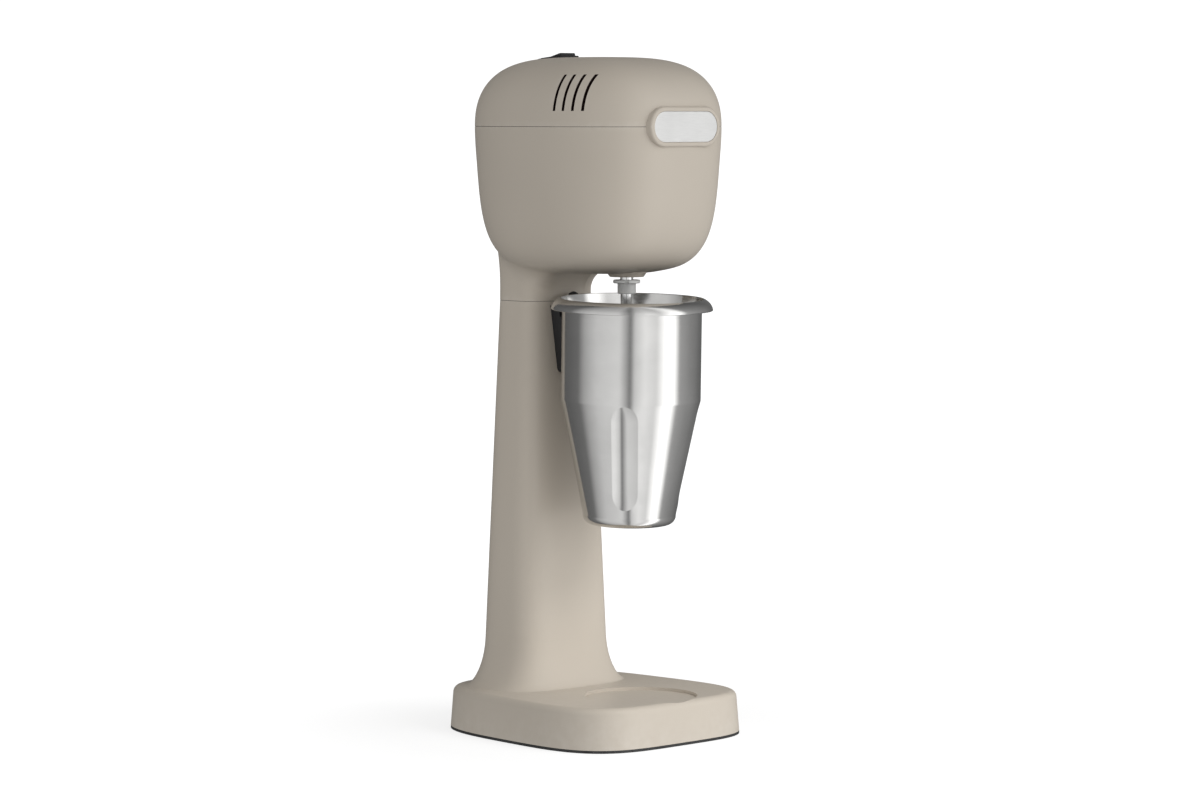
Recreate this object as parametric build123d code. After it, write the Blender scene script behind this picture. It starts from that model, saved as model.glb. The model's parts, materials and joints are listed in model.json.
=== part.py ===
from build123d import *
import os
from math import atan2, cos, degrees, hypot, pi, radians, sin, sqrt, tan

os.makedirs("parts", exist_ok=True)

# Overall size, millimetres; the origin is under the middle of the sole
OUTLINE_POINTS = 40
WALL = 3.0
SEAM_GAP = 0.3

# Rubber sole, base and column
SOLE_THICKNESS = 2.0
BASE_HALF_X = 86.2
BASE_HALF_Y = 96.6
BASE_TOP = 31.2
BASE_POWER = 3.9
BASE_NARROWING = 0.15
BASE_DRAFT = tan(radians(4.0))
BASE_TOP_FILLET = 5.0
BASE_CEILING = 24.5
COLUMN_Y = 46.5
COLUMN_POWER = 3.8
COLUMN_FLARE = (34.0, 17.0, 10.5)
COLUMN_FOOT = (18.5, 46.2, 31.2)
COLUMN_HEAD = (311.5, 32.6, 22.9)
TRAY_Y = -52.5
TRAY_RADIUS = 40.6
TRAY_DEPTH = 2.2

# Head: a deep barrel with a flat seam, standing on the neck
SEAM_Z = 437.5
HEAD_BOTTOM = 333.2
HEAD_TOP = 486.9
HEAD_WIDEST_Z = 434.5
HEAD_HALF_X = 71.0
HEAD_HALF_Y = 88.5
HEAD_Y = -8.0
HEAD_POWER = 2.85
HEAD_TAPER = 0.072
LOWER_ROUNDING = (4.6, 0.21)
UPPER_ROUNDING = (2.3, 0.265)
NECK_FILLET = 17.0
BADGE_FRONT = -97.7
TONGUE_THICKNESS = 2.6
TONGUE_GAP = 0.3
TONGUE_REACH = 7.0

# Drive train
SPINDLE_Y = -38.0
SHAFT_RADIUS = 4.0
STUB_RADIUS = 4.7
AGITATOR_SHAFT_RADIUS = 4.45
RUNNING_CLEARANCE = 0.05
BOSS_BOTTOM = 330.5
LOWER_BEARING = (338.0, 345.0, 11.0)
UPPER_BEARING = (443.0, 449.0, 9.5)
MOUNT_X = 34.0
MOUNT_Y = 18.0
POST_TOP = 350.0
THROUGH_BOLT = 28.0
STATOR = (376.0, 411.0, 72.0, 14.0)
ROTOR_RADIUS = 20.0
POLE_BORE = 20.5
COIL_RADII = (21.5, 29.0)
SLOTS = 12

# Cup
CUP_Y = -43.5
CUP_TILT = (1.75, -0.7)
CUP_TOP = 315.4
CUP_BOTTOM = 153.4
CUP_RADIUS = 50.0
CUP_WALL = 0.9
RIM_RADIUS = 57.9
CONE_FOOT = (33.4, 160.4)
CONE_TOP = 243.0
FLUTE_ANGLES = (40.4, 130.4, 220.4, 310.4)
FLUTE_MIDDLE = 204.5
FLUTE_LENGTH = 77.0
FLUTE_RADIUS = 27.5
FLUTE_DEPTH = 2.65

# Start lever in the cup holder
LEVER_PIVOT = (18.4, 287.0)
LEVER_PIN_RADIUS = 1.5
LEVER_HALF_WIDTH = 3.2
MICRO_PIVOT = (57.0, 282.6)
MICRO_TOP_GAP = 5.6

# Speed rocker on the sloping crown
SWITCH_Y = 33.0
SWITCH_Z = 486.0
SWITCH_SLOPE = 5.0
ROCKER_TILT = 5.0

# Cable gland at the foot of the column
GLAND_Z = 48.0
GLAND_BORE = 3.6


def outline(z, half_x, half_y, centre_y, power, narrowing=0.0):
    points = []
    for step in range(OUTLINE_POINTS):
        angle = 2 * pi * step / OUTLINE_POINTS
        reach = (abs(cos(angle)) ** power + abs(sin(angle)) ** power) ** (-1 / power)
        along_y = reach * sin(angle)
        along_x = reach * cos(angle) * (1 - narrowing * (1 + along_y) ** 2 / 4)
        points.append((half_x * along_x, centre_y + half_y * along_y, z))
    return Face(Wire(Spline(*points, periodic=True)))


def rod(radius, bottom, top, x=0.0, y=SPINDLE_Y):
    align = (Align.CENTER, Align.CENTER, Align.MIN)
    return Pos(x, y, bottom) * Cylinder(radius, top - bottom, align=align)


def sleeve(outer, inner, bottom, top, x=0.0, y=SPINDLE_Y):
    return rod(outer, bottom, top, x, y) - rod(inner, bottom, top, x, y)


def rod_along_y(radius, start, end, x, z):
    align = (Align.CENTER, Align.CENTER, Align.MIN)
    return Pos(x, start, z) * Rot(-90, 0, 0) * Cylinder(radius, end - start, align=align)


def rod_along_x(radius, start, end, y, z):
    align = (Align.CENTER, Align.CENTER, Align.MIN)
    return Pos(start, y, z) * Rot(0, 90, 0) * Cylinder(radius, end - start, align=align)


def block(x_range, y_range, z_range):
    size = [high - low for low, high in (x_range, y_range, z_range)]
    middle = [(high + low) / 2 for low, high in (x_range, y_range, z_range)]
    return Pos(*middle) * Box(*size)


def rounded_plate(width, depth, radius, bottom, top, y=SPINDLE_Y):
    return Pos(0, y, bottom) * extrude(RectangleRounded(width, depth, radius), top - bottom)


def turned(profile, y=SPINDLE_Y):
    face = make_face(Polyline(*profile, close=True))
    return Pos(0, y, 0) * revolve(Plane.XZ * face, Axis.Z)


def corners(half_x, half_y, y):
    return [(sx * half_x, y + sy * half_y) for sx in (-1, 1) for sy in (-1, 1)]


def at_all(places, make):
    return Part() + [make(x, y) for x, y in places]


def screw(x, y, bottom, top, shank, head, head_height, head_below=False):
    if head_below:
        return rod(shank, bottom, top, x, y) + rod(head, bottom - head_height, bottom, x, y)
    return rod(shank, bottom, top, x, y) + rod(head, top, top + head_height, x, y)


# ---------------------------------------------------------------- outer shapes


def base_outline(z, inset=0.0):
    draft = inset + max(z - SOLE_THICKNESS, 0) * BASE_DRAFT
    return outline(z, BASE_HALF_X - draft, BASE_HALF_Y - draft, 0, BASE_POWER, BASE_NARROWING)


def column_half(z):
    share = (z - COLUMN_FOOT[0]) / (COLUMN_HEAD[0] - COLUMN_FOOT[0])
    half_x = COLUMN_FOOT[1] + share * (COLUMN_HEAD[1] - COLUMN_FOOT[1])
    half_y = COLUMN_FOOT[2] + share * (COLUMN_HEAD[2] - COLUMN_FOOT[2])
    return half_x, half_y


def column_outline(z, inset=0.0):
    half_x, half_y = column_half(z)
    return outline(z, half_x - inset, half_y - inset, COLUMN_Y, COLUMN_POWER)


def column_flare():
    height, spread_x, spread_y = COLUMN_FLARE
    sections = []
    for share in (1.0, 0.8, 0.6, 0.45, 0.32, 0.2, 0.1, 0.04, 0.0):
        curve = 1 - sqrt(1 - (1 - share) ** 2)
        z = BASE_TOP - 0.3 + share * height
        half_x, half_y = column_half(z)
        power = COLUMN_POWER - 0.8 * curve
        sections.append(outline(z, half_x + spread_x * curve, half_y + spread_y * curve, COLUMN_Y, power))
    return loft(sections)


def lower_shell():
    base = loft([base_outline(SOLE_THICKNESS), base_outline(BASE_TOP)])
    base = fillet(base.edges().group_by(Axis.Z)[-1], BASE_TOP_FILLET)
    flare_top = BASE_TOP - 0.3 + COLUMN_FLARE[0]
    column = loft([column_outline(flare_top), column_outline(COLUMN_HEAD[0])])
    shape = base + (column_flare() + column)
    return shape - rod(TRAY_RADIUS, BASE_TOP - TRAY_DEPTH, BASE_TOP + 10, 0, TRAY_Y)


def lower_cavity():
    room = loft([base_outline(SOLE_THICKNESS, WALL), base_outline(BASE_CEILING, WALL + 1)])
    shaft = loft([column_outline(COLUMN_FOOT[0], WALL), column_outline(COLUMN_HEAD[0], WALL)])
    return room + shaft


def barrel(inset=0.0):
    bottom = HEAD_BOTTOM + inset
    top = HEAD_TOP - inset
    half_x = HEAD_HALF_X - inset
    half_y = HEAD_HALF_Y - inset
    sections = []
    for drop in (0.999, 0.985, 0.95, 0.9, 0.8, 0.65, 0.45, 0.2):
        scale = (1 - HEAD_TAPER * drop) * (1 - drop ** LOWER_ROUNDING[0]) ** LOWER_ROUNDING[1]
        z = HEAD_WIDEST_Z - 2.5 - drop * (HEAD_WIDEST_Z - 2.5 - bottom)
        sections.append(outline(z, half_x * scale, half_y * scale, HEAD_Y, HEAD_POWER))
    sections.append(outline(HEAD_WIDEST_Z, half_x, half_y, HEAD_Y, HEAD_POWER))
    for rise in (0.25, 0.5, 0.7, 0.84, 0.93, 0.98, 0.999):
        scale = (1 - rise ** UPPER_ROUNDING[0]) ** UPPER_ROUNDING[1]
        z = SEAM_Z + rise * (top - SEAM_Z)
        sections.append(outline(z, half_x * scale, half_y * scale, HEAD_Y, HEAD_POWER))
    return loft(sections)


def neck(inset=0.0):
    foot = COLUMN_HEAD[0]
    half_x, half_y = COLUMN_HEAD[1], COLUMN_HEAD[2]
    spread = ((0, 0.0), (14, 0.0), (26, 0.5), (38, 1.6), (50, 2.8), (63, 3.4))
    return loft([outline(foot + rise, half_x + grow - inset, half_y + grow - inset, COLUMN_Y, COLUMN_POWER)
                 for rise, grow in spread])


def head_solid():
    shape = barrel() + neck()
    joint = [e for e in shape.edges()
             if e.bounding_box().min.Z > COLUMN_HEAD[0] + 5 and e.length > 150
             and e.bounding_box().max.Z > HEAD_BOTTOM + 8 and e.bounding_box().max.Z < SEAM_Z - 20]
    shape = fillet(joint, NECK_FILLET)
    boss = turned([(0, BOSS_BOTTOM), (12.1, BOSS_BOTTOM), (12.9, BOSS_BOTTOM + 1), (16.0, HEAD_BOTTOM + 3),
                   (16.0, HEAD_BOTTOM + 6), (0, HEAD_BOTTOM + 6)])
    return shape + boss


def head_cavity():
    return barrel(WALL) + neck(WALL)


def slab(bottom, top):
    return block((-150, 150), (-150, 150), (bottom, top))


LOWER_SHELL = lower_shell()
HEAD_SOLID = head_solid()
HEAD_CAVITY = head_cavity()

SOLE_SCREWS = [(-62, -66), (62, -66), (-56, 68), (56, 68)]
JOINT_SCREWS = corners(21.5, 13.0, COLUMN_Y)
EARTH_SCREW = (-52.0, 0.0)
COVER_SCREWS = [(-19, 9), (19, 9)]
MOUNTS = corners(MOUNT_X, MOUNT_Y, SPINDLE_Y)
BOLTS = corners(THROUGH_BOLT, THROUGH_BOLT, SPINDLE_Y)
HOLDER_SCREWS = ((0.0, 268.0), (-10.6, 301.0), (10.6, 301.0))


# ------------------------------------------------------------------- castings


def base_column():
    cavity = lower_cavity()
    cavity -= at_all(SOLE_SCREWS, lambda x, y: rod(5.0, SOLE_THICKNESS + 1.5, BASE_CEILING + 5, x, y))
    cavity -= at_all(JOINT_SCREWS, lambda x, y: rod(6.5, 286, 320, x, y))
    cavity -= rod(4.5, 14, 30, *EARTH_SCREW)
    for x, z in HOLDER_SCREWS:
        cavity -= rod_along_y(4.0, 20, 31, x, z)
    cavity -= block((-40, -5), (38, 52), (MICRO_PIVOT[1] - 18, MICRO_PIVOT[1] - 13))
    shell = (LOWER_SHELL & slab(0, COLUMN_HEAD[0] - SEAM_GAP / 2)) - cavity
    shell -= at_all(SOLE_SCREWS, lambda x, y: rod(2.0, SOLE_THICKNESS, 15, x, y))
    shell -= at_all(JOINT_SCREWS, lambda x, y: rod(2.0, 296, 320, x, y))
    shell -= rod(2.0, 12, 22, *EARTH_SCREW)
    for x, z in HOLDER_SCREWS:
        shell -= rod_along_y(2.1, 15, 40, x, z)
    shell -= microswitch_screw()
    shell -= block((-4.4, 4.4), (15, 35), (281.0, 291.5))
    shell -= rod_along_y(6.1, 68, 98, 0, GLAND_Z)
    shell -= rod_along_y(9.2, 79.4, 98, 0, GLAND_Z)
    return shell - rod_along_y(9.6, 66, 74, 0, GLAND_Z)


def head_body():
    cavity = HEAD_CAVITY - rod(15.0, BOSS_BOTTOM, LOWER_BEARING[1] + 1)
    cavity -= at_all(MOUNTS, lambda x, y: rod(5.5, BOSS_BOTTOM, POST_TOP, x, y))
    cavity -= at_all(COVER_SCREWS, lambda x, y: rod(5.5, BOSS_BOTTOM, SEAM_Z, x, y))
    cavity -= at_all(JOINT_SCREWS, lambda x, y: rod(6.5, 300, 322, x, y))
    shell = (HEAD_SOLID & slab(COLUMN_HEAD[0] + SEAM_GAP / 2, SEAM_Z - SEAM_GAP / 2)) - cavity
    shell -= rod(LOWER_BEARING[2], LOWER_BEARING[0] - 4.5, LOWER_BEARING[1] + 2)
    shell -= rod(5.5, BOSS_BOTTOM - 1, LOWER_BEARING[0])
    shell -= at_all(MOUNTS, lambda x, y: rod(2.0, 341.5, POST_TOP + 1, x, y))
    shell -= at_all(COVER_SCREWS, lambda x, y: rod(3.9, BOSS_BOTTOM, 352, x, y))
    shell -= at_all(COVER_SCREWS, lambda x, y: rod(2.1, 350, SEAM_Z, x, y))
    shell -= at_all(JOINT_SCREWS, lambda x, y: rod(2.1, 300, 330, x, y))
    return shell


def vents():
    cuts = Part()
    for step in range(4):
        y = -36.0 - 7.9 * step
        for side in (-1, 1):
            x_range = (-90, -40) if side < 0 else (40, 90)
            cuts += block(x_range, (y - 1.1, y + 1.1), (448.5, 474.0))
    return cuts


def front_tongues():
    """Two lugs of the cover that tuck behind the front wall of the head, so it needs no front screws."""
    inside = barrel(WALL + TONGUE_THICKNESS)
    above = (barrel(WALL - 0.5) - inside) & slab(SEAM_Z + SEAM_GAP / 2, SEAM_Z + TONGUE_REACH)
    below = (barrel(WALL + TONGUE_GAP) - inside) & slab(SEAM_Z - TONGUE_REACH, SEAM_Z + 1)
    ring = above + below
    left = ring & block((-34, -20), (-100, -70), (400, 460))
    return left + (ring & block((20, 34), (-100, -70), (400, 460)))


def top_cover():
    cavity = HEAD_CAVITY - at_all(COVER_SCREWS, lambda x, y: rod(5.5, SEAM_Z, HEAD_TOP, x, y))
    shell = (HEAD_SOLID & slab(SEAM_Z + SEAM_GAP / 2, 500)) - cavity
    shell -= at_all(COVER_SCREWS, lambda x, y: rod(2.0, SEAM_Z, 452, x, y))
    shell -= vents()
    shell += front_tongues()
    seat = Pos(0, 0, -1.6) * extrude(RectangleRounded(18.0, 26.2, 1.4), 10)
    return shell - on_crown(Box(16.6, 24.4, 24)) - on_crown(seat)


def seam_ring(z, outer, inner, half_x, half_y, y, power):
    ring = extrude(outline(z - SEAM_GAP / 2, half_x - outer, half_y - outer, y, power), SEAM_GAP)
    return ring - extrude(outline(z - SEAM_GAP / 2, half_x - inner, half_y - inner, y, power), SEAM_GAP)


def head_gasket():
    return seam_ring(SEAM_Z, 0.35, 2.8, HEAD_HALF_X, HEAD_HALF_Y, HEAD_Y, HEAD_POWER)


def neck_gasket():
    return seam_ring(COLUMN_HEAD[0], 0.35, 2.8, COLUMN_HEAD[1], COLUMN_HEAD[2], COLUMN_Y, COLUMN_POWER)


# ---------------------------------------------------------------- base underside


def bottom_plate():
    plate = extrude(base_outline(SOLE_THICKNESS, WALL + 0.6), 1.5)
    return plate - at_all(SOLE_SCREWS, lambda x, y: rod(2.1, 0, 10, x, y))


def rubber_sole():
    sole = extrude(base_outline(0.0, 0.0), SOLE_THICKNESS)
    return sole - at_all(SOLE_SCREWS, lambda x, y: rod(4.5, -1, 10, x, y))


def sole_screws():
    return at_all(SOLE_SCREWS, lambda x, y: screw(x, y, SOLE_THICKNESS, 14, 1.98, 3.6, 1.6, True))


# ------------------------------------------------------------------------ badge


def pill(width, height, back, front):
    sketch = RectangleRounded(width, height, height / 2 - 0.01)
    return Pos(0, back, SEAM_Z) * Rot(90, 0, 0) * extrude(sketch, back - front)


def badge_bezel():
    raised = pill(68.8, 28.2, -80, BADGE_FRONT)
    raised = fillet(raised.edges().group_by(Axis.Y)[0], 1.6)
    raised -= barrel()
    return raised - pill(62.4, 21.9, BADGE_FRONT + 0.7, BADGE_FRONT - 5)


def badge_plate():
    plate = pill(62.0, 21.5, BADGE_FRONT + 0.7, BADGE_FRONT + 0.1)
    return fillet(plate.edges().group_by(Axis.Y)[0], 0.25)


# ------------------------------------------------------------------ start switch


def tilted_cup_bore(radius):
    body = Cylinder(radius, 220)
    return Pos(0, CUP_Y, CUP_TOP) * Rot(*CUP_TILT, 0) * Pos(0, 0, -110) * body


def cup_holder():
    face = make_face(Polyline((-16.5, 308.5), (16.5, 308.5), (11.0, 259.6), (-11.0, 259.6), close=True))
    face = fillet(face.vertices().group_by(Axis.Y)[0], 4.0)
    solid = Pos(0, 40, 0) * Rot(90, 0, 0) * extrude(face, 60)
    solid -= tilted_cup_bore(CUP_RADIUS + 0.6)
    ridge = Plane.YZ * make_face(Polyline((-20, 255), (12.5, 255), (3.5, 290), (3.5, 315), (40, 315),
                                          (40, 255), close=True))
    solid &= extrude(ridge, 30, both=True)
    solid -= block((-40, 40), (-20, 14.9), (300.5, 330))
    lip_ring = sleeve(54.6, 51.4, 298, 309.6, 0, CUP_Y) & block((-14, 14), (-5, 20), (290, 320))
    solid += lip_ring
    solid -= LOWER_SHELL
    solid &= block((-40, 40), (-20, 30), (250, 320))
    solid -= block((-3.7, 3.7), (12.4, 40), (279.0, 320))
    solid -= rod_along_x(LEVER_PIN_RADIUS, -8, 8, *LEVER_PIVOT)
    for x, z in HOLDER_SCREWS:
        solid -= rod_along_y(2.0, 12, 40, x, z)
    return solid.solids().sort_by(SortBy.VOLUME)[-1]


def lever_pin():
    return rod_along_x(LEVER_PIN_RADIUS, -8, 8, *LEVER_PIVOT)


def holder_screws():
    screws = [rod_along_y(1.98, 13, 31, x, z) + rod_along_y(3.6, 31, 33.4, x, z) for x, z in HOLDER_SCREWS]
    return Part() + screws


def start_lever():
    y, z = LEVER_PIVOT
    half = LEVER_HALF_WIDTH
    profile = make_face(Polyline((y - 3.3, z - 3.3), (y + 22, z - 3.3), (y + 25, z - 2.4), (y + 25, z + 0.4),
                                 (y + 2.6, z + 2.2), (y + 1.6, 312), (y + 0.6, 316.4), (y - 1.2, 318.4),
                                 (y - 2.8, 316.6), (y - 3.3, 312), close=True))
    body = extrude(Plane.YZ * profile, half, both=True)
    round_top = Pos(0, y - 1.2, 318.4 - 4.2) * Rot(90, 0, 0) * Cylinder(4.2, 12)
    round_top += block((-10, 10), (0, 60), (270, 318.4 - 4.2))
    return (body & round_top) - rod_along_x(LEVER_PIN_RADIUS + RUNNING_CLEARANCE, -8, 8, y, z)


def microswitch():
    y, z = MICRO_PIVOT
    body = block((-5, 5), (y - 23, y + 3), (z - 19, z - MICRO_TOP_GAP))
    body += block((-5, 5), (y - 1.8, y + 3), (z - MICRO_TOP_GAP, z + 1.8))
    body -= block((-2.6, 2.6), (y - 4, y + 4), (z - MICRO_TOP_GAP, z + 3))
    for tab_y in (y - 20, y - 10):
        body += block((-0.4, 0.4), (tab_y - 2, tab_y + 2), (z - 24, z - 19))
    return body - rod_along_x(0.7, -8, 8, y, z) - microswitch_screw()


def microswitch_screw():
    y, z = MICRO_PIVOT
    return rod_along_x(1.2, -16, 5, y - 11, z - 15.5) + rod_along_x(2.3, 5, 6.4, y - 11, z - 15.5)


def microswitch_lever():
    y, z = MICRO_PIVOT
    blade = block((-2.3, 2.3), (y - 20, y + 1.2), (z - 0.9, z + 0.5))
    blade += rod_along_x(1.3, -2.3, 2.3, y, z)
    return blade - rod_along_x(0.5 + RUNNING_CLEARANCE, -4, 4, y, z)


def microswitch_pin():
    y, z = MICRO_PIVOT
    return rod_along_x(0.5, -5, 5, y, z) + rod_along_x(0.7, -5, -2.7, y, z) + rod_along_x(0.7, 2.7, 5, y, z)


# ------------------------------------------------------------------ speed rocker


def on_crown(shape):
    return Pos(0, SWITCH_Y, SWITCH_Z) * Rot(-SWITCH_SLOPE, 0, 0) * shape


def switch_frame():
    rim = Pos(0, 0, -1.6) * extrude(RectangleRounded(17.8, 26.0, 1.3), 2.8)
    rim = fillet(rim.edges().group_by(Axis.Z)[-1], 0.6)
    body = Pos(0, 0, -9.2) * Box(16.4, 24.2, 18.0)
    frame = rim + body
    frame -= Pos(0, 0, -3.0) * Box(14.8, 23.0, 12.0)
    for y in (-6, 0, 6):
        frame += Pos(0, y, -21.6) * Box(4.8, 0.8, 7)
    return on_crown(frame - rod_along_x(1.0, -7.9, 7.9, 0, -1.2))


def rocker():
    body = Plane.YZ * make_face(Polyline((-10.8, -1.0), (-10.8, 3.0), (-10.1, 3.7), (0, 2.9), (10.1, 3.7),
                                         (10.8, 3.0), (10.8, -1.0), (3.0, -4.2), (-3.0, -4.2), close=True))
    solid = extrude(body, 7.1, both=True) - rod_along_x(1.0 + RUNNING_CLEARANCE, -8, 8, 0, 0)
    return on_crown(Pos(0, 0, -1.2) * Rot(-ROCKER_TILT, 0, 0) * solid)


def rocker_pin():
    return on_crown(rod_along_x(1.0, -7.9, 7.9, 0, -1.2))


# ------------------------------------------------------------------------- motor


def bracket_plate(bottom, top, centre_hole):
    plate = rounded_plate(72, 72, 14, bottom, top) - rounded_plate(46, 72, 10, bottom, top)
    plate += rounded_plate(72, 36, 8, bottom, top)
    return plate - rod(centre_hole, bottom - 1, top + 1)


def lower_bracket():
    plate = bracket_plate(353, 356, 9.0)
    plate += at_all(MOUNTS, lambda x, y: rod(6.0, 353, 356, x, y))
    plate -= at_all(MOUNTS, lambda x, y: rod(2.0, 350, 360, x, y))
    return plate - at_all(BOLTS, lambda x, y: rod(2.0, 350, 360, x, y))


def upper_bracket():
    plate = bracket_plate(441, 444, 6.0) + rod(12.5, 441, UPPER_BEARING[1] + 0.5)
    plate -= rod(UPPER_BEARING[2], UPPER_BEARING[0], UPPER_BEARING[1] + 1)
    plate -= rod(6.0, 440, 444)
    return plate - at_all(BOLTS, lambda x, y: rod(2.0, 440, 445, x, y))


def motor_mounts():
    return at_all(MOUNTS, lambda x, y: sleeve(5.4, 2.0, POST_TOP, 353, x, y))


def mount_screws():
    return at_all(MOUNTS, lambda x, y: screw(x, y, 342, 356, 1.98, 3.6, 2.4))


def through_bolts():
    bolts = at_all(BOLTS, lambda x, y: screw(x, y, 350.2, 444, 1.98, 3.6, 2.4))
    return bolts + at_all(BOLTS, lambda x, y: rod(3.6, 350.4, 353, x, y))


def bolt_spacers():
    below = at_all(BOLTS, lambda x, y: sleeve(4.0, 2.0, 356, STATOR[0], x, y))
    return below + at_all(BOLTS, lambda x, y: sleeve(4.0, 2.0, STATOR[1], 441, x, y))


def ring_sector(inner, outer, bottom, top, middle, sweep):
    profile = Plane.XZ * make_face(Polyline((inner, bottom), (outer, bottom), (outer, top), (inner, top),
                                            close=True))
    sector = revolve(profile, Axis.Z, sweep)
    return Pos(0, SPINDLE_Y, 0) * Rot(0, 0, middle - sweep / 2) * sector


def stator_core():
    bottom, top, width, radius = STATOR
    core = rounded_plate(width, width, radius, bottom, top) - rod(POLE_BORE, bottom, top)
    for middle in (0, 180):
        core -= ring_sector(POLE_BORE - 1, COIL_RADII[1] + 0.4, bottom, top, middle, 58)
    return core - at_all(BOLTS, lambda x, y: rod(2.0, bottom, top, x, y))


def field_coil(turn):
    bottom, top = STATOR[0], STATOR[1]
    inner, outer = COIL_RADII
    coil = ring_sector(inner, outer, top + 0.3, top + 8, turn, 172)
    coil += ring_sector(inner, outer, bottom - 8, bottom - 0.3, turn, 172)
    for side in (-1, 1):
        coil += ring_sector(inner, outer, bottom - 8, top + 8, turn + side * 75.0, 22)
    return coil


def slotted(shape, radius, width, depth, bottom, top):
    for step in range(SLOTS):
        cut = block((radius - depth, radius + 1), (-width / 2, width / 2), (bottom, top))
        shape -= Pos(0, SPINDLE_Y, 0) * Rot(0, 0, 360 * step / SLOTS) * cut
    return shape


def rotor_core():
    core = sleeve(ROTOR_RADIUS, SHAFT_RADIUS, STATOR[0], STATOR[1])
    return slotted(core, ROTOR_RADIUS, 3.0, 8.0, STATOR[0] - 1, STATOR[1] + 1)


def armature_windings():
    bottom, top = STATOR[0], STATOR[1]
    winding = turned([(6, top), (17, top), (18.4, top + 3), (16, top + 8), (6, top + 8)])
    low = bottom - 5.5
    winding += turned([(6, bottom), (17, bottom), (18.4, bottom - 2.5), (16, low), (6, low)])
    for step in range(SLOTS):
        bar = block((12.0, 18.6), (-1.5, 1.5), (bottom, top))
        winding += Pos(0, SPINDLE_Y, 0) * Rot(0, 0, 360 * step / SLOTS) * bar
    return winding


def commutator():
    drum = sleeve(11.0, SHAFT_RADIUS, 423, 438)
    return slotted(drum, 11.0, 0.7, 1.6, 422, 439)


def cooling_fan():
    fan = sleeve(8.0, SHAFT_RADIUS, 358.5, 366.5) + sleeve(28.0, SHAFT_RADIUS, 364.9, 366.5)
    for step in range(9):
        blade = Rot(0, 0, 22) * block((0, 20.5), (-0.7, 0.7), (358.5, 365))
        blade = Pos(7.5, 0, 0) * blade
        fan += Pos(0, SPINDLE_Y, 0) * Rot(0, 0, 40 * step) * blade
    return fan & rod(28.0, 350, 370)


def motor_shaft():
    low, high = LOWER_BEARING[0], UPPER_BEARING[0]
    return turned([(0, 322), (SHAFT_RADIUS, 322), (SHAFT_RADIUS, 328.4), (STUB_RADIUS, 328.4),
                   (STUB_RADIUS, low), (SHAFT_RADIUS, low), (SHAFT_RADIUS, high), (3.0, high),
                   (3.0, UPPER_BEARING[1] + 1), (0, UPPER_BEARING[1] + 1)])


def bearing(bottom, top, outer, bore):
    middle = (outer + bore) / 2
    ring = sleeve(outer, bore, bottom, top)
    groove = sleeve(middle + 1.3, middle - 1.3, bottom - 1, bottom + 0.5)
    return ring - groove - Pos(0, 0, top - bottom + 0.5) * groove


def brush_holders():
    holders = Part()
    for side in (-1, 1):
        tube = block((13.5, 31), (-4.5, 4.5), (425.5, 434.5)) - block((13, 30.2), (-3.1, 3.1), (426.9, 433.1))
        tube += block((22, 31), (-3, 3), (434.5, 441))
        turn = 0 if side > 0 else 180
        holders += Pos(0, SPINDLE_Y, 0) * Rot(0, 0, turn) * tube
    return holders


def carbon_brushes():
    brush = block((11.3, 24), (-3.0, 3.0), (427, 433)) - Pos(0, 0, 430) * Cylinder(11.3, 20)
    pair = Part()
    for turn in (0, 180):
        pair += Pos(0, SPINDLE_Y, 0) * Rot(0, 0, turn) * brush
    return pair


def brush_springs():
    path = Helix(pitch=1.45, height=5.4, radius=2.0)
    wire = Plane(origin=path @ 0, z_dir=path % 0) * Circle(0.3)
    coil = sweep(wire, path)
    pair = []
    for turn in (0, 180):
        pair.append(Pos(0, SPINDLE_Y, 430) * Rot(0, 0, turn) * Pos(24.4, 0, 0) * Rot(0, 90, 0) * coil)
    return Part() + pair


def shaft_seal():
    return sleeve(LOWER_BEARING[2], STUB_RADIUS + RUNNING_CLEARANCE, LOWER_BEARING[0] - 4.5, LOWER_BEARING[0])


# ----------------------------------------------------------------- coupling, tool


def drive_coupling():
    body = turned([(0, 318.4), (6.2, 318.4), (6.6, 318.9), (6.6, 325.9), (9.3, 325.9), (9.8, 326.4),
                   (9.8, 328.0), (9.4, 328.4), (0, 328.4)])
    body -= rod(SHAFT_RADIUS, 322, 330) + rod(AGITATOR_SHAFT_RADIUS, 310, 322)
    for step in range(4):
        notch = block((7.6, 11), (-1.6, 1.6), (325, 329))
        body -= Pos(0, SPINDLE_Y, 0) * Rot(0, 0, 45 + 90 * step) * notch
    return body


def agitator_shaft():
    return turned([(0, 166), (2.2, 166), (2.6, 166.5), (2.6, 172), (3.2, 174), (AGITATOR_SHAFT_RADIUS, 196),
                   (AGITATOR_SHAFT_RADIUS, 322), (0, 322)])


def wavy_disc(height, radius, lift, bore):
    disc = Part() + sleeve(radius * 0.62, bore, height - 0.6, height + 0.6)
    disc += sleeve(5.0, bore, height - 2.2, height + 2.2)
    for step in range(6):
        tilt = lift if step % 2 else -lift
        blank = extrude(RectangleRounded(radius * 0.72, 6.4, 2.4), 0.6, both=True)
        petal = Pos(radius * 0.62, 0, 0) * Rot(tilt, 0, 0) * blank
        disc += Pos(0, SPINDLE_Y, height) * Rot(0, 0, 60 * step) * petal
    return disc - rod(bore, height - 5, height + 5)


def agitator_disc():
    return wavy_disc(169.3, 13.5, 18, 2.6)


def upper_agitator_disc():
    return wavy_disc(232.0, 12.0, 12, AGITATOR_SHAFT_RADIUS)


# -------------------------------------------------------------------------- cup


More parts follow.
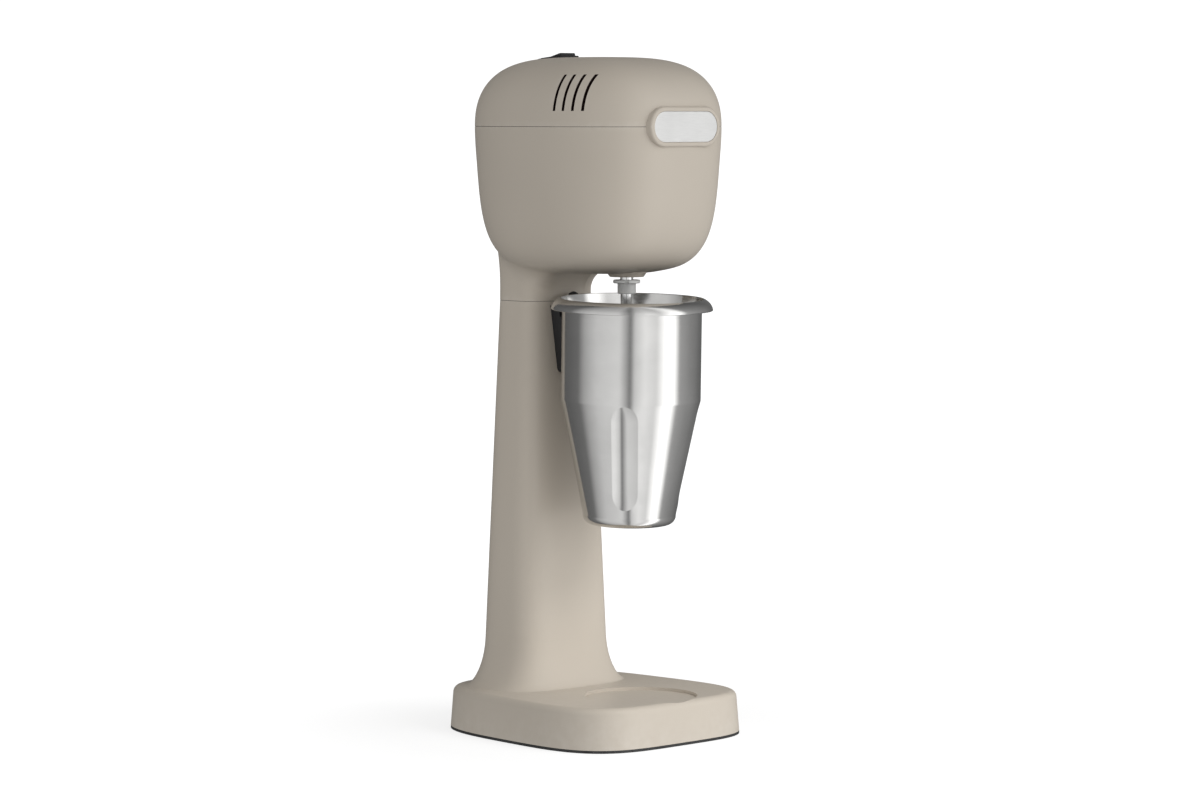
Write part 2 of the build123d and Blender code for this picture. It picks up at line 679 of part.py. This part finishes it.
def flute(growth):
    """Tool for one pressed flute: a round-ended cylinder that dips into the cone along its slope."""
    slope = atan2(CUP_RADIUS - CONE_FOOT[0], CONE_TOP - CONE_FOOT[1])
    surface = CONE_FOOT[0] + (FLUTE_MIDDLE - CONE_FOOT[1]) * tan(slope)
    past_surface = FLUTE_RADIUS - FLUTE_DEPTH
    end_reach = sqrt(FLUTE_RADIUS ** 2 - past_surface ** 2)
    length = FLUTE_LENGTH - 2 * end_reach
    radius = FLUTE_RADIUS + growth
    tool = Cylinder(radius, length) + Pos(0, 0, length / 2) * Sphere(radius)
    tool += Pos(0, 0, -length / 2) * Sphere(radius)
    out = surface + past_surface * cos(slope)
    return Pos(out, 0, FLUTE_MIDDLE - past_surface * sin(slope)) * Rot(0, degrees(slope), 0) * tool


def cup():
    wall = CUP_WALL
    low = CUP_BOTTOM
    outer = Polyline((0, 300), (0, low), (27.0, low))
    outer += ThreePointArc((27.0, low), (31.8, low + 2.2), CONE_FOOT)
    outer += Polyline(CONE_FOOT, (CUP_RADIUS, CONE_TOP), (CUP_RADIUS, 304.0), (50.7, 313.4))
    outer += Spline((50.7, 313.4), (53.8, 311.9), (56.9, 307.7))
    outer += ThreePointArc((56.9, 307.7), (57.5, 307.3), (RIM_RADIUS, 307.9))
    outer += Spline((RIM_RADIUS, 307.9), (57.2, 310.2), (55.0, 313.2), (51.6, CUP_TOP))
    outer += Polyline((51.6, CUP_TOP), (50.9, 315.1), (49.7, 305.0), (49.0, 300), (0, 300))
    inner = Polyline((0, 330), (0, low + wall), (26.6, low + wall))
    inner += ThreePointArc((26.6, low + wall), (31.0, low + 2.9), (32.6, low + 7.4))
    inner += Polyline((32.6, low + 7.4), (CUP_RADIUS - wall, CONE_TOP + 0.1), (CUP_RADIUS - wall, 304.0),
                      (50.7, 315.4), (50.7, 330), (0, 330))
    solid = revolve(Plane.XZ * make_face(outer), Axis.Z)
    room = revolve(Plane.XZ * make_face(inner), Axis.Z)
    for angle in FLUTE_ANGLES:
        solid -= Rot(0, 0, angle) * flute(0.0)
        room -= Rot(0, 0, angle) * flute(wall)
    shape = solid - room
    return Pos(0, CUP_Y, CUP_TOP) * Rot(*CUP_TILT, 0) * Pos(0, 0, -CUP_TOP) * shape


# -------------------------------------------------------------------- electrics


def cable_gland():
    body = rod_along_y(6.0, 69, 84, 0, GLAND_Z) + rod_along_y(8.6, 79.4, 84, 0, GLAND_Z)
    body += rod_along_y(6.8, 84, 90, 0, GLAND_Z)
    return body - rod_along_y(GLAND_BORE, 60, 98, 0, GLAND_Z)


def gland_nut():
    hexagon = extrude(RegularPolygon(8.6, 6), 3.5)
    nut = Pos(0, 74, GLAND_Z) * Rot(90, 0, 0) * hexagon
    return nut - rod_along_y(6.0, 60, 80, 0, GLAND_Z)


def terminal_block():
    body = block((-12, 12), (28, 38), (SOLE_THICKNESS + 1.5, 15))
    for x in (-8, 8):
        body -= rod(1.7, 9, 20, x, 33)
    return body


def terminal_screws():
    screws = [rod(1.68, 9, 13.6, x, 33) for x in (-8, 8)]
    return Part() + screws


def earth_screw():
    return screw(*EARTH_SCREW, 14, 21, 1.98, 3.6, 2.2, True)


def internal_leads():
    leads = []
    for x in (-7.0, 0.0, 7.0):
        path = Spline((x, 66, 46), (x, 65, 120), (x, 63, 250), (x, 62, 330), (x, 54, 420), (x * 0.5, 36, 455))
        start = Plane(origin=path @ 0, z_dir=path % 0) * Circle(1.2)
        leads.append(sweep(start, path))
    return Part() + leads


PIECES = {
    "base_column": base_column,
    "head_body": head_body,
    "top_cover": top_cover,
    "head_gasket": head_gasket,
    "neck_gasket": neck_gasket,
    "bottom_plate": bottom_plate,
    "rubber_sole": rubber_sole,
    "sole_screws": sole_screws,
    "joint_screws": lambda: at_all(JOINT_SCREWS, lambda x, y: screw(x, y, 297, 322, 1.98, 3.6, 2.4)),
    "cover_screws": lambda: at_all(COVER_SCREWS, lambda x, y: screw(x, y, 352, 450, 1.98, 3.6, 2.4, True)),
    "badge_bezel": badge_bezel,
    "badge_plate": badge_plate,
    "cup_holder": cup_holder,
    "holder_screws": holder_screws,
    "lever_pin": lever_pin,
    "start_lever": start_lever,
    "microswitch": microswitch,
    "microswitch_pin": microswitch_pin,
    "microswitch_screw": microswitch_screw,
    "microswitch_lever": microswitch_lever,
    "switch_frame": switch_frame,
    "rocker": rocker,
    "rocker_pin": rocker_pin,
    "lower_bracket": lower_bracket,
    "upper_bracket": upper_bracket,
    "motor_mounts": motor_mounts,
    "mount_screws": mount_screws,
    "through_bolts": through_bolts,
    "bolt_spacers": bolt_spacers,
    "stator_core": stator_core,
    "field_coil_front": lambda: field_coil(270),
    "field_coil_rear": lambda: field_coil(90),
    "rotor_core": rotor_core,
    "armature_windings": armature_windings,
    "commutator": commutator,
    "cooling_fan": cooling_fan,
    "motor_shaft": motor_shaft,
    "lower_bearing": lambda: bearing(*LOWER_BEARING, SHAFT_RADIUS),
    "upper_bearing": lambda: bearing(*UPPER_BEARING, 3.0),
    "shaft_seal": shaft_seal,
    "brush_holders": brush_holders,
    "carbon_brushes": carbon_brushes,
    "brush_springs": brush_springs,
    "drive_coupling": drive_coupling,
    "agitator_shaft": agitator_shaft,
    "agitator_disc": agitator_disc,
    "upper_agitator_disc": upper_agitator_disc,
    "cup": cup,
    "cable_gland": cable_gland,
    "gland_nut": gland_nut,
    "terminal_block": terminal_block,
    "terminal_screws": terminal_screws,
    "earth_screw": earth_screw,
    "internal_leads": internal_leads,
}

for name, make in PIECES.items():
    export_step(make(), f"parts/{name}.step")
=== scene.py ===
import json
import math

import bpy
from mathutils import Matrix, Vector


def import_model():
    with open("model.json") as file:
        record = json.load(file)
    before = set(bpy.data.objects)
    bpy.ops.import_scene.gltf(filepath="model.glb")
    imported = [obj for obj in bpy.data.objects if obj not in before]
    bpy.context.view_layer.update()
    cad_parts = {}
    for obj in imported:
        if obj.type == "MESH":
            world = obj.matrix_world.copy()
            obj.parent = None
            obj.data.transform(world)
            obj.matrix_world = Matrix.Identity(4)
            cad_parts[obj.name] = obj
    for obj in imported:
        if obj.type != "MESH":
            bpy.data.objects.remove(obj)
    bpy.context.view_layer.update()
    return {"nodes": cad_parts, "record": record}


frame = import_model()
NODES = frame["nodes"]

# Cooling slots in the crown: the painted shade put on their inner walls, and where their walls are
SLOT_SHADE = (0.010, 0.0022, 0.0018)
SLOT_FOOT = 0.447
SLOT_FRONT = -0.0625
SLOT_INSIDE = 0.042
SLOT_FACING = 0.97

# Studio: (bearing in degrees to the right of the front quarter, brightness) for what shines and for
# what is lit, then how each fades from the horizon to overhead
BEARING_ZERO = -134.0
PEAK = 2.4
MIRRORED = ((-180, 0.14), (-150, 0.11), (-98, 0.20), (-84, 0.50), (-60, 0.78), (-20, 0.95), (-8, 0.50),
            (-2, 0.20), (5, 0.86), (22, 1.18), (42, 0.98), (54, 1.6), (66, 2.2), (76, 1.7), (86, 0.48),
            (110, 0.34), (130, 0.26), (152, 0.16), (180, 0.14))
MIRRORED_HEIGHT = ((-1.0, 0.8), (-0.5, 1.0), (0.25, 1.0), (0.95, 0.55))
LIT = ((-180, 0.48), (-120, 0.58), (-75, 0.70), (-30, 0.78), (20, 1.05), (62, 1.75), (98, 1.45), (130, 0.6),
       (180, 0.48))
LIT_HEIGHT = ((-1.0, 0.5), (-0.4, 0.75), (0.05, 1.0), (0.5, 1.1), (0.8, 0.5), (0.97, 0.2))
BACKDROP_GLOW = 1.1
LOW_PLACE = (0.08, -0.36, 0.40)
LOW_TARGET = (0.0, -0.03, 0.03)
LOW_SIZE = (0.3, 0.15)
LOW_SPREAD = math.radians(55)
LOW_POWER = 0.11

# Floor: its own glow, that glow's share under the object, and the distances over which the share grows to 1
FLOOR_GLOW = 1.16
FLOOR_SHARE = 0.66
FLOOR_NEAR = 0.14
FLOOR_FAR = 0.42
FLOOR_SIZE = 60.0
FLOOR_DROP = 0.0002

# Camera: where it stands, its heading across the floor, how far down it tips, and its lens in millimetres
CAMERA_PLACE = (-2.0146, -2.0965, 0.4497)
CAMERA_HEADING = (0.6947, 0.7193)
CAMERA_PITCH = math.radians(4.118)
CAMERA_CLIP = (0.05, 60.0)
LENS = 121.15
SENSOR_WIDTH = 36.0


# ------------------------------------------------------------- shader helpers


class Shader:
    """Builds one node material, with the texture space in metres."""

    def __init__(self, name):
        self.material = bpy.data.materials.new(name)
        self.material.use_nodes = True
        self.tree = self.material.node_tree
        self.nodes = self.tree.nodes
        self.links = self.tree.links
        self.bsdf = self.nodes["Principled BSDF"]
        self.space = self.nodes.new("ShaderNodeTexCoord").outputs["Object"]

    def link(self, source, target):
        self.links.new(source, target)

    def scaled(self, scale):
        node = self.nodes.new("ShaderNodeMapping")
        node.inputs["Scale"].default_value = scale
        self.link(self.space, node.inputs["Vector"])
        return node.outputs["Vector"]

    def noise(self, scale, detail=3.0, roughness=0.5, stretch=None):
        node = self.nodes.new("ShaderNodeTexNoise")
        node.inputs["Scale"].default_value = scale
        node.inputs["Detail"].default_value = detail
        node.inputs["Roughness"].default_value = roughness
        self.link(self.scaled(stretch) if stretch else self.space, node.inputs["Vector"])
        return node.outputs["Fac"]

    def spread(self, value, low, high, from_low=0.3, from_high=0.7):
        node = self.nodes.new("ShaderNodeMapRange")
        node.inputs["From Min"].default_value = from_low
        node.inputs["From Max"].default_value = from_high
        node.inputs["To Min"].default_value = low
        node.inputs["To Max"].default_value = high
        self.link(value, node.inputs["Value"])
        return node.outputs["Result"]

    def ramp(self, value, stops):
        node = self.nodes.new("ShaderNodeValToRGB")
        ramp = node.color_ramp
        while len(ramp.elements) < len(stops):
            ramp.elements.new(0.5)
        for element, (place, colour) in zip(ramp.elements, stops):
            element.position = place
            element.color = (*colour, 1.0)
        self.link(value, node.inputs["Fac"])
        return node.outputs["Color"]

    def mix(self, factor, first, second):
        node = self.nodes.new("ShaderNodeMix")
        node.data_type = "RGBA"
        self.link(factor, node.inputs["Factor"])
        for value, socket in ((first, node.inputs[6]), (second, node.inputs[7])):
            if isinstance(value, tuple):
                socket.default_value = (*value, 1.0)
            else:
                self.link(value, socket)
        return node.outputs[2]

    def maths(self, operation, first, second):
        node = self.nodes.new("ShaderNodeMath")
        node.operation = operation
        for value, socket in ((first, node.inputs[0]), (second, node.inputs[1])):
            if isinstance(value, float):
                socket.default_value = value
            else:
                self.link(value, socket)
        return node.outputs[0]

    def edges(self, low=0.51, high=0.56):
        geometry = self.nodes.new("ShaderNodeNewGeometry")
        return self.spread(geometry.outputs["Pointiness"], 0.0, 1.0, low, high)

    def slot_walls(self):
        """1 on the inner walls of the cooling slots, which are in deep shade and are given painted shade."""
        place = self.nodes.new("ShaderNodeSeparateXYZ")
        self.link(self.space, place.inputs["Vector"])
        normal = self.nodes.new("ShaderNodeSeparateXYZ")
        self.link(self.nodes.new("ShaderNodeTexCoord").outputs["Normal"], normal.inputs["Vector"])
        facing = self.maths("GREATER_THAN", self.maths("ABSOLUTE", normal.outputs["Y"], 0.0), SLOT_FACING)
        high = self.maths("GREATER_THAN", place.outputs["Z"], SLOT_FOOT)
        behind = self.maths("GREATER_THAN", place.outputs["Y"], SLOT_FRONT)
        aside = self.maths("GREATER_THAN", self.maths("ABSOLUTE", place.outputs["X"], 0.0), SLOT_INSIDE)
        upright = self.maths("MULTIPLY", facing, high)
        return self.maths("MULTIPLY", upright, self.maths("MULTIPLY", behind, aside))

    def bump(self, height, strength, distance):
        node = self.nodes.new("ShaderNodeBump")
        node.inputs["Strength"].default_value = strength
        node.inputs["Distance"].default_value = distance
        self.link(height, node.inputs["Height"])
        self.link(node.outputs["Normal"], self.bsdf.inputs["Normal"])

    def colour(self, value):
        self.link(value, self.bsdf.inputs["Base Color"])

    def rough(self, value):
        self.link(value, self.bsdf.inputs["Roughness"])

    def set(self, **values):
        for key, value in values.items():
            self.bsdf.inputs[key.replace("_", " ")].default_value = value


def enamel(name, base, highlight_and_wear_tone):
    s = Shader(name)
    dark = tuple(c * 0.975 for c in base)
    light = tuple(min(c * 1.02, 1.0) for c in base)
    cloud = s.ramp(s.noise(7.0, 4.0), [(0.3, dark), (0.7, light)])
    # Paler in patches on sharp edges: partly edge wear, partly a painted highlight where the edges catch the
    # light.
    edge_highlight_and_wear = s.maths("MULTIPLY", s.edges(0.53, 0.62), s.spread(s.noise(160.0, 5.0), 0.0, 0.35))
    # Painted shade: the inner walls of the cooling slots are coloured near black to stand in for their
    # shadow.
    s.colour(s.mix(s.slot_walls(), s.mix(edge_highlight_and_wear, cloud, highlight_and_wear_tone), SLOT_SHADE))
    s.rough(s.spread(s.noise(240.0, 3.0), 0.40, 0.48))
    s.bump(s.noise(1500.0, 2.0), 0.04, 0.0002)
    s.set(Coat_Weight=0.08, Coat_Roughness=0.3, Specular_IOR_Level=0.4)
    return s.material


def plastic(name, base, rough, grain=2600.0, strength=0.12, shine=0.5):
    s = Shader(name)
    dark = tuple(c * 0.8 for c in base)
    light = tuple(min(c * 1.25 + 0.004, 1.0) for c in base)
    tone = s.ramp(s.noise(45.0, 4.0), [(0.3, dark), (0.7, light)])
    rubbed = tuple(min(c * 1.6 + 0.03, 1.0) for c in base)
    s.colour(s.mix(s.maths("MULTIPLY", s.edges(), 0.45), tone, rubbed))
    s.rough(s.spread(s.noise(300.0, 4.0), rough - 0.06, rough + 0.08))
    s.bump(s.noise(grain, 2.0), strength, 0.0002)
    s.set(Specular_IOR_Level=shine)
    return s.material


def metal(name, base, rough, stretch=(1.0, 1.0, 40.0), scale=60.0, anisotropy=0.0, grime=0.5, depth=0.05):
    s = Shader(name)
    dark = tuple(c * 0.9 for c in base)
    light = tuple(min(c * 1.05, 1.0) for c in base)
    lines = s.noise(scale, 5.0, 0.6, stretch)
    cloud = s.noise(30.0, 4.0)
    tone = s.ramp(s.maths("ADD", s.maths("MULTIPLY", lines, 1.0 - grime), s.maths("MULTIPLY", cloud, grime)),
                  [(0.3, dark), (0.7, light)])
    s.colour(s.mix(s.maths("MULTIPLY", s.edges(), 0.3), tone, light))
    s.rough(s.spread(lines, rough * 0.85, rough * 1.2))
    s.bump(lines, depth, 0.0001)
    s.set(Metallic=1.0, Anisotropic=anisotropy)
    if anisotropy:
        s.set(Anisotropic_Rotation=0.25)
        tangent = s.nodes.new("ShaderNodeTangent")
        tangent.direction_type = "RADIAL"
        tangent.axis = "Z"
        s.link(tangent.outputs["Tangent"], s.bsdf.inputs["Tangent"])
    return s.material


LOOKS = {
    "casting_paint": enamel("warm_greige_enamel", (0.525, 0.472, 0.402), (0.66, 0.62, 0.56)),
    "stainless": metal("stainless_cup", (0.66, 0.655, 0.645), 0.15, stretch=(1.0, 1.0, 90.0), scale=30.0,
                       anisotropy=0.4, grime=0.8, depth=0.012),
    "polished_steel": metal("bright_turned_steel", (0.74, 0.74, 0.735), 0.14, stretch=(1.0, 1.0, 80.0)),
    "badge_metal": metal("bright_badge_plate", (0.90, 0.90, 0.89), 0.40, stretch=(1.0, 1.0, 30.0),
                         scale=160.0, depth=0.004),
    "screw_steel": metal("zinc_screws", (0.55, 0.56, 0.58), 0.35),
    "sheet_steel": metal("plain_sheet_steel", (0.5, 0.5, 0.51), 0.4),
    "lamination": metal("stacked_laminations", (0.22, 0.22, 0.24), 0.45, stretch=(1.0, 1.0, 600.0),
                        scale=6.0, grime=0.2),
    "aluminium": metal("cast_aluminium", (0.58, 0.58, 0.59), 0.5, stretch=(1.0, 1.0, 1.0), scale=500.0),
    "copper": metal("enamelled_copper", (0.60, 0.24, 0.11), 0.32, stretch=(1.0, 1.0, 300.0), scale=12.0),
    "brass": metal("stamped_brass", (0.70, 0.52, 0.22), 0.33),
    "black_plastic": plastic("satin_black_plastic", (0.010, 0.010, 0.011), 0.42, shine=0.22),
    "grey_plastic": plastic("grey_moulding", (0.60, 0.60, 0.59), 0.36, grain=1800.0, strength=0.08),
    "rubber": plastic("black_rubber", (0.012, 0.012, 0.012), 0.7, grain=1200.0, strength=0.3),
    "carbon": plastic("pressed_carbon", (0.02, 0.02, 0.022), 0.6, grain=900.0, strength=0.3),
    "red_insulation": plastic("red_wire_insulation", (0.32, 0.02, 0.015), 0.4),
}

SLOT_OF = {entry["node"]: entry["material_slot"] for entry in frame["record"]["subparts"]}
for node, piece in NODES.items():
    piece.data.materials.clear()
    piece.data.materials.append(LOOKS[SLOT_OF[node]])


# -------------------------------------------------------------- studio


def floor():
    """A white sweep: lit round the object, so that it shows a contact shadow, and plain white beyond."""
    bpy.ops.mesh.primitive_plane_add(size=FLOOR_SIZE, location=(0, 0, -FLOOR_DROP))
    plane = bpy.context.object
    plane.name = "studio_floor"
    s = Shader("pale_floor")
    s.colour(s.ramp(s.noise(3.0, 3.0), [(0.3, (0.90, 0.90, 0.90)), (0.7, (0.92, 0.92, 0.92))]))
    s.rough(s.spread(s.noise(20.0, 3.0), 0.85, 0.95))
    s.set(Specular_IOR_Level=0.1)
    distance = s.nodes.new("ShaderNodeVectorMath")
    distance.operation = "LENGTH"
    s.link(s.space, distance.inputs[0])
    glow = s.nodes.new("ShaderNodeEmission")
    glow.inputs["Strength"].default_value = FLOOR_GLOW
    mix = s.nodes.new("ShaderNodeMixShader")
    share = s.spread(distance.outputs["Value"], FLOOR_SHARE, 1.0, FLOOR_NEAR, FLOOR_FAR)
    s.link(share, mix.inputs["Fac"])
    s.link(s.bsdf.outputs["BSDF"], mix.inputs[1])
    s.link(glow.outputs["Emission"], mix.inputs[2])
    s.link(mix.outputs["Shader"], s.nodes["Material Output"].inputs["Surface"])
    plane.data.materials.append(s.material)
    plane.visible_glossy = False
    plane.visible_diffuse = False


class Sky:
    """The studio all round: one set of softboxes to shine in the metal, one to light the paint."""

    def __init__(self, name):
        self.world = bpy.data.worlds.new(name)
        self.world.use_nodes = True
        self.nodes = self.world.node_tree.nodes
        self.links = self.world.node_tree.links
        self.split = self.nodes.new("ShaderNodeSeparateXYZ")
        direction = self.nodes.new("ShaderNodeTexCoord").outputs["Generated"]
        self.links.new(direction, self.split.inputs["Vector"])

    def maths(self, operation, first, second=0.0):
        node = self.nodes.new("ShaderNodeMath")
        node.operation = operation
        for value, socket in ((first, node.inputs[0]), (second, node.inputs[1])):
            if isinstance(value, float):
                socket.default_value = value
            else:
                self.links.new(value, socket)
        return node.outputs[0]

    def ramp(self, value, stops):
        node = self.nodes.new("ShaderNodeValToRGB")
        elements = node.color_ramp.elements
        while len(elements) < len(stops):
            elements.new(0.5)
        for element, (place, level) in zip(elements, stops):
            element.position = place
            element.color = (level, level, level, 1.0)
        self.links.new(value, node.inputs["Fac"])
        return node.outputs["Color"]

    def around(self, stops):
        bearing = self.maths("ARCTAN2", self.split.outputs["Y"], self.split.outputs["X"])
        turn = self.maths("DIVIDE", bearing, 2 * math.pi)
        share = self.maths("FRACT", self.maths("ADD", turn, 1.5 - BEARING_ZERO / 360.0))
        return self.ramp(share, [((angle + 180.0) / 360.0, level / PEAK) for angle, level in stops])

    def fade(self, stops):
        share = self.maths("ADD", self.maths("MULTIPLY", self.split.outputs["Z"], 0.5), 0.5)
        levels = [((height + 1.0) / 2.0, level) for height, level in stops]
        return self.maths("MULTIPLY", self.ramp(share, levels), PEAK)

    def glow(self, stops, heights):
        node = self.nodes.new("ShaderNodeBackground")
        self.links.new(self.around(stops), node.inputs["Color"])
        self.links.new(self.fade(heights), node.inputs["Strength"])
        return node.outputs["Background"]

    def white(self):
        node = self.nodes.new("ShaderNodeBackground")
        node.inputs["Color"].default_value = (1.0, 1.0, 1.0, 1.0)
        node.inputs["Strength"].default_value = BACKDROP_GLOW
        return node.outputs["Background"]

    def choose(self, ray, otherwise, when):
        mix = self.nodes.new("ShaderNodeMixShader")
        self.links.new(self.nodes.new("ShaderNodeLightPath").outputs[ray], mix.inputs["Fac"])
        self.links.new(otherwise, mix.inputs[1])
        self.links.new(when, mix.inputs[2])
        return mix.outputs["Shader"]


def world():
    sky = Sky("studio")
    lit = sky.glow(LIT, LIT_HEIGHT)
    mirrored = sky.glow(MIRRORED, MIRRORED_HEIGHT)
    light = sky.choose("Is Glossy Ray", lit, mirrored)
    seen = sky.choose("Is Camera Ray", light, sky.white())
    sky.links.new(seen, sky.nodes["World Output"].inputs["Surface"])
    bpy.context.scene.world = sky.world


def low_softbox():
    """A small softbox in front, aimed down at the foot and the base."""
    data = bpy.data.lights.new("low_softbox", "AREA")
    data.shape = "RECTANGLE"
    data.size, data.size_y = LOW_SIZE
    data.energy = LOW_POWER
    data.spread = LOW_SPREAD
    lamp = bpy.data.objects.new("low_softbox", data)
    lamp.location = LOW_PLACE
    lamp.rotation_euler = (Vector(LOW_TARGET) - Vector(LOW_PLACE)).to_track_quat("-Z", "Y").to_euler()
    lamp.visible_glossy = False
    bpy.context.collection.objects.link(lamp)


def camera():
    data = bpy.data.cameras.new("camera")
    data.sensor_width = SENSOR_WIDTH
    data.lens = LENS
    data.clip_start, data.clip_end = CAMERA_CLIP
    cam = bpy.data.objects.new("camera", data)
    bpy.context.collection.objects.link(cam)
    cam.location = CAMERA_PLACE
    level = math.cos(CAMERA_PITCH)
    ahead = Vector((CAMERA_HEADING[0] * level, CAMERA_HEADING[1] * level, -math.sin(CAMERA_PITCH)))
    cam.rotation_mode = "QUATERNION"
    cam.rotation_quaternion = ahead.to_track_quat("-Z", "Y")
    bpy.context.scene.camera = cam


floor()
world()
low_softbox()
camera()
bpy.context.scene.view_settings.view_transform = "Standard"

for piece in NODES.values():
    for polygon in piece.data.polygons:
        polygon.use_smooth = True
